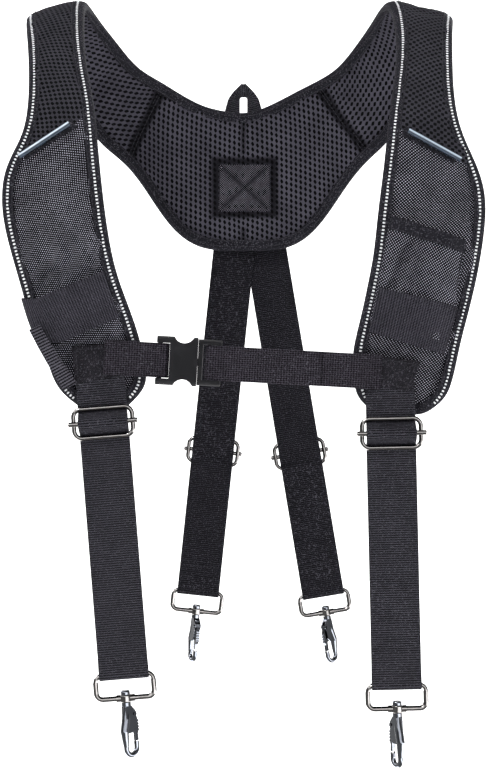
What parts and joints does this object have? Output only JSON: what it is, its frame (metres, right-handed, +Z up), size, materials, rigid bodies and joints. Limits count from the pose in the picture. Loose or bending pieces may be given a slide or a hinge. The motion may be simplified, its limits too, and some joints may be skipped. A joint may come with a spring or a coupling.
{
  "type": "padded tool belt suspenders",
  "caption": "Padded shoulder yoke with mesh lining, chest strap with side-release buckle, and adjustable webbing straps that end in swivel snap hooks.",
  "frame": {"origin": "in the middle between the shoulders, level with the arm-side edge of the pads where they cross the shoulders", "axes": "+X to the left hand of the wearer, +Y backwards from the chest straps to the back panel, +Z up"},
  "size_m": [0.3659, 0.2456, 0.6081],
  "materials": {
    "ballistic_mesh": "woven nylon with light flecks",
    "spacer_mesh": "knitted spacer mesh with oval holes",
    "foam": "closed-cell foam",
    "binding_tape": "folded woven tape",
    "reflective_tape": "dashed reflective piping",
    "webbing": "ribbed woven webbing",
    "pocket_cloth": "coated woven cloth",
    "tube_plastic": "glossy dark blue-grey",
    "buckle_plastic": "moulded acetal",
    "nickel_plate": "dark nickel plate",
    "spring_steel": "spring steel"
  },
  "bodies": {
    "root": {"left_foam": "foam", "left_cover": "ballistic_mesh", "left_lining": "spacer_mesh", "left_binding": "binding_tape", "back_foam": "foam", "back_cover": "ballistic_mesh", "back_lining": "spacer_mesh", "back_binding": "binding_tape", "right_foam": "foam", "right_cover": "ballistic_mesh", "right_lining": "spacer_mesh", "right_binding": "binding_tape", "reflective_trims": "reflective_tape", "hanger_tubes": "tube_plastic", "hanger_bands": "webbing", "back_patch": "webbing", "hang_loop": "webbing", "left_phone_band": "webbing", "right_phone_band": "webbing", "left_tool_loop": "webbing", "right_pen_pocket": "pocket_cloth", "chest_strap_left": "webbing", "chest_strap_right": "webbing", "buckle_socket": "buckle_plastic", "buckle_plug": "buckle_plastic"},
    "upper_arm": {"buckle_upper_arm": "buckle_plastic"},
    "lower_arm": {"buckle_lower_arm": "buckle_plastic"},
    "front_left_strap": {"front_left_webbing_upper": "webbing"},
    "front_left_pin": {"front_left_adjuster_pin": "nickel_plate"},
    "front_left_adjuster": {"front_left_adjuster_frame": "nickel_plate"},
    "front_left_loop": {"front_left_webbing_loop": "webbing"},
    "front_left_frame": {"front_left_hook_frame": "nickel_plate"},
    "front_left_hook": {"front_left_hook_body": "nickel_plate", "front_left_gate_spring": "spring_steel"},
    "front_left_gate": {"front_left_hook_gate": "nickel_plate"},
    "front_right_strap": {"front_right_webbing_upper": "webbing"},
    "front_right_pin": {"front_right_adjuster_pin": "nickel_plate"},
    "front_right_adjuster": {"front_right_adjuster_frame": "nickel_plate"},
    "front_right_loop": {"front_right_webbing_loop": "webbing"},
    "front_right_frame": {"front_right_hook_frame": "nickel_plate"},
    "front_right_hook": {"front_right_hook_body": "nickel_plate", "front_right_gate_spring": "spring_steel"},
    "front_right_gate": {"front_right_hook_gate": "nickel_plate"},
    "rear_left_strap": {"rear_left_webbing_upper": "webbing"},
    "rear_left_pin": {"rear_left_adjuster_pin": "nickel_plate"},
    "rear_left_adjuster": {"rear_left_adjuster_frame": "nickel_plate"},
    "rear_left_loop": {"rear_left_webbing_loop": "webbing"},
    "rear_left_frame": {"rear_left_hook_frame": "nickel_plate"},
    "rear_left_hook": {"rear_left_hook_body": "nickel_plate", "rear_left_gate_spring": "spring_steel"},
    "rear_left_gate": {"rear_left_hook_gate": "nickel_plate"},
    "rear_right_strap": {"rear_right_webbing_upper": "webbing"},
    "rear_right_pin": {"rear_right_adjuster_pin": "nickel_plate"},
    "rear_right_adjuster": {"rear_right_adjuster_frame": "nickel_plate"},
    "rear_right_loop": {"rear_right_webbing_loop": "webbing"},
    "rear_right_frame": {"rear_right_hook_frame": "nickel_plate"},
    "rear_right_hook": {"rear_right_hook_body": "nickel_plate", "rear_right_gate_spring": "spring_steel"},
    "rear_right_gate": {"rear_right_hook_gate": "nickel_plate"}
  },
  "joints": [
    {"name": "buckle_upper_squeeze", "type": "hinge", "parent": "root", "child": "upper_arm", "pos_m": [-0.03441, -0.1112, -0.27167], "axis": [0, 1, 0], "range_deg": [-8, 0], "stiffness_Nm_per_rad": 0.2},
    {"name": "buckle_lower_squeeze", "type": "hinge", "parent": "root", "child": "lower_arm", "pos_m": [-0.03541, -0.1112, -0.29004], "axis": [0, 1, 0], "range_deg": [0, 8], "stiffness_Nm_per_rad": 0.2},
    {"name": "front_left_swing", "type": "hinge", "parent": "root", "child": "front_left_strap", "pos_m": [-0.10681, -0.1105, -0.317], "axis": [0.9968, 0, 0.0801], "range_deg": [-55, 12]},
    {"name": "front_left_adjust", "type": "slide", "parent": "front_left_strap", "child": "front_left_pin", "axis": [0.0801, 0, -0.9968], "range_m": [0, 0.14], "deforming": ["front_left_webbing_upper"]},
    {"name": "front_left_frame_shift", "type": "slide", "parent": "front_left_pin", "child": "front_left_adjuster", "axis": [0.0801, 0, -0.9968], "range_m": [-0.0025, 0.0025]},
    {"name": "front_left_take_up", "type": "slide", "parent": "front_left_pin", "child": "front_left_loop", "axis": [0.0801, 0, -0.9968], "range_m": [-0.07, 0], "deforming": ["front_left_webbing_loop"]},
    {"name": "front_left_hook_tilt", "type": "hinge", "parent": "front_left_loop", "child": "front_left_frame", "pos_m": [-0.0907, -0.10965, -0.5175], "axis": [0.9968, 0, 0.0801], "range_deg": [-60, 60]},
    {"name": "front_left_hook_turn", "type": "hinge", "parent": "front_left_frame", "child": "front_left_hook", "pos_m": [-0.08926, -0.10965, -0.53544], "axis": [0.0801, 0, -0.9968], "continuous": true},
    {"name": "front_left_gate_open", "type": "hinge", "parent": "front_left_hook", "child": "front_left_gate", "pos_m": [-0.08465, -0.10618, -0.54791], "axis": [-0.6924, 0.7193, -0.0556], "range_deg": [0, 18], "stiffness_Nm_per_rad": 0.02, "springref_deg": -17.19, "deforming": ["front_left_gate_spring"]},
    {"name": "front_right_swing", "type": "hinge", "parent": "root", "child": "front_right_strap", "pos_m": [0.11149, -0.1107, -0.32049], "axis": [0.9997, 0, 0.0225], "range_deg": [-55, 12]},
    {"name": "front_right_adjust", "type": "slide", "parent": "front_right_strap", "child": "front_right_pin", "axis": [0.0225, 0, -0.9997], "range_m": [0, 0.14], "deforming": ["front_right_webbing_upper"]},
    {"name": "front_right_frame_shift", "type": "slide", "parent": "front_right_pin", "child": "front_right_adjuster", "axis": [0.0225, 0, -0.9997], "range_m": [-0.0025, 0.0025]},
    {"name": "front_right_take_up", "type": "slide", "parent": "front_right_pin", "child": "front_right_loop", "axis": [0.0225, 0, -0.9997], "range_m": [-0.07, 0], "deforming": ["front_right_webbing_loop"]},
    {"name": "front_right_hook_tilt", "type": "hinge", "parent": "front_right_loop", "child": "front_right_frame", "pos_m": [0.1161, -0.10985, -0.5255], "axis": [0.9997, 0, 0.0225], "range_deg": [-60, 60]},
    {"name": "front_right_hook_turn", "type": "hinge", "parent": "front_right_frame", "child": "front_right_hook", "pos_m": [0.1165, -0.10985, -0.54349], "axis": [0.0225, 0, -0.9997], "continuous": true},
    {"name": "front_right_gate_open", "type": "hinge", "parent": "front_right_hook", "child": "front_right_gate", "pos_m": [0.11437, -0.10548, -0.55635], "axis": [-0.8744, -0.4848, -0.0197], "range_deg": [0, 18], "stiffness_Nm_per_rad": 0.02, "springref_deg": -17.19, "deforming": ["front_right_gate_spring"]},
    {"name": "rear_left_swing", "type": "hinge", "parent": "root", "child": "rear_left_strap", "pos_m": [-0.01219, 0.1079, -0.21064], "axis": [0.9945, 0, -0.1044], "range_deg": [-15, 60]},
    {"name": "rear_left_adjust", "type": "slide", "parent": "rear_left_strap", "child": "rear_left_pin", "axis": [-0.1044, 0, -0.9945], "range_m": [-0.09, 0.06], "deforming": ["rear_left_webbing_upper"]},
    {"name": "rear_left_frame_shift", "type": "slide", "parent": "rear_left_pin", "child": "rear_left_adjuster", "axis": [-0.1044, 0, -0.9945], "range_m": [-0.0025, 0.0025]},
    {"name": "rear_left_take_up", "type": "slide", "parent": "rear_left_pin", "child": "rear_left_loop", "axis": [-0.1044, 0, -0.9945], "range_m": [-0.03, 0.045], "deforming": ["rear_left_webbing_loop"]},
    {"name": "rear_left_hook_tilt", "type": "hinge", "parent": "rear_left_loop", "child": "rear_left_frame", "pos_m": [-0.0409, 0.10705, -0.484], "axis": [0.9945, 0, -0.1044], "range_deg": [-60, 60]},
    {"name": "rear_left_hook_turn", "type": "hinge", "parent": "rear_left_frame", "child": "rear_left_hook", "pos_m": [-0.04278, 0.10705, -0.5019], "axis": [-0.1044, 0, -0.9945], "continuous": true},
    {"name": "rear_left_gate_open", "type": "hinge", "parent": "rear_left_hook", "child": "rear_left_gate", "pos_m": [-0.04186, 0.1026, -0.51487], "axis": [0.8861, 0.454, -0.0931], "range_deg": [0, 18], "stiffness_Nm_per_rad": 0.02, "springref_deg": -17.19, "deforming": ["rear_left_gate_spring"]},
    {"name": "rear_right_swing", "type": "hinge", "parent": "root", "child": "rear_right_strap", "pos_m": [0.0261, 0.1096, -0.21109], "axis": [0.9864, 0, 0.1643], "range_deg": [-15, 60]},
    {"name": "rear_right_adjust", "type": "slide", "parent": "rear_right_strap", "child": "rear_right_pin", "axis": [0.1643, 0, -0.9864], "range_m": [-0.09, 0.06], "deforming": ["rear_right_webbing_upper"]},
    {"name": "rear_right_frame_shift", "type": "slide", "parent": "rear_right_pin", "child": "rear_right_adjuster", "axis": [0.1643, 0, -0.9864], "range_m": [-0.0025, 0.0025]},
    {"name": "rear_right_take_up", "type": "slide", "parent": "rear_right_pin", "child": "rear_right_loop", "axis": [0.1643, 0, -0.9864], "range_m": [-0.03, 0.045], "deforming": ["rear_right_webbing_loop"]},
    {"name": "rear_right_hook_tilt", "type": "hinge", "parent": "rear_right_loop", "child": "rear_right_frame", "pos_m": [0.0718, 0.10875, -0.4855], "axis": [0.9864, 0, 0.1643], "range_deg": [-60, 60]},
    {"name": "rear_right_hook_turn", "type": "hinge", "parent": "rear_right_frame", "child": "rear_right_hook", "pos_m": [0.07476, 0.10875, -0.50326], "axis": [0.1643, 0, -0.9864], "continuous": true},
    {"name": "rear_right_gate_open", "type": "hinge", "parent": "rear_right_hook", "child": "rear_right_gate", "pos_m": [0.07325, 0.10534, -0.51648], "axis": [0.6727, -0.7314, 0.112], "range_deg": [0, 18], "stiffness_Nm_per_rad": 0.02, "springref_deg": -17.19, "deforming": ["rear_right_gate_spring"]}
  ],
  "couplings": [
    {"joint": "buckle_lower_squeeze", "follows": "buckle_upper_squeeze", "ratio": -1},
    {"joint": "front_left_take_up", "follows": "front_left_adjust", "ratio": -0.5},
    {"joint": "front_right_take_up", "follows": "front_right_adjust", "ratio": -0.5},
    {"joint": "rear_left_take_up", "follows": "rear_left_adjust", "ratio": -0.5},
    {"joint": "rear_right_take_up", "follows": "rear_right_adjust", "ratio": -0.5}
  ]
}
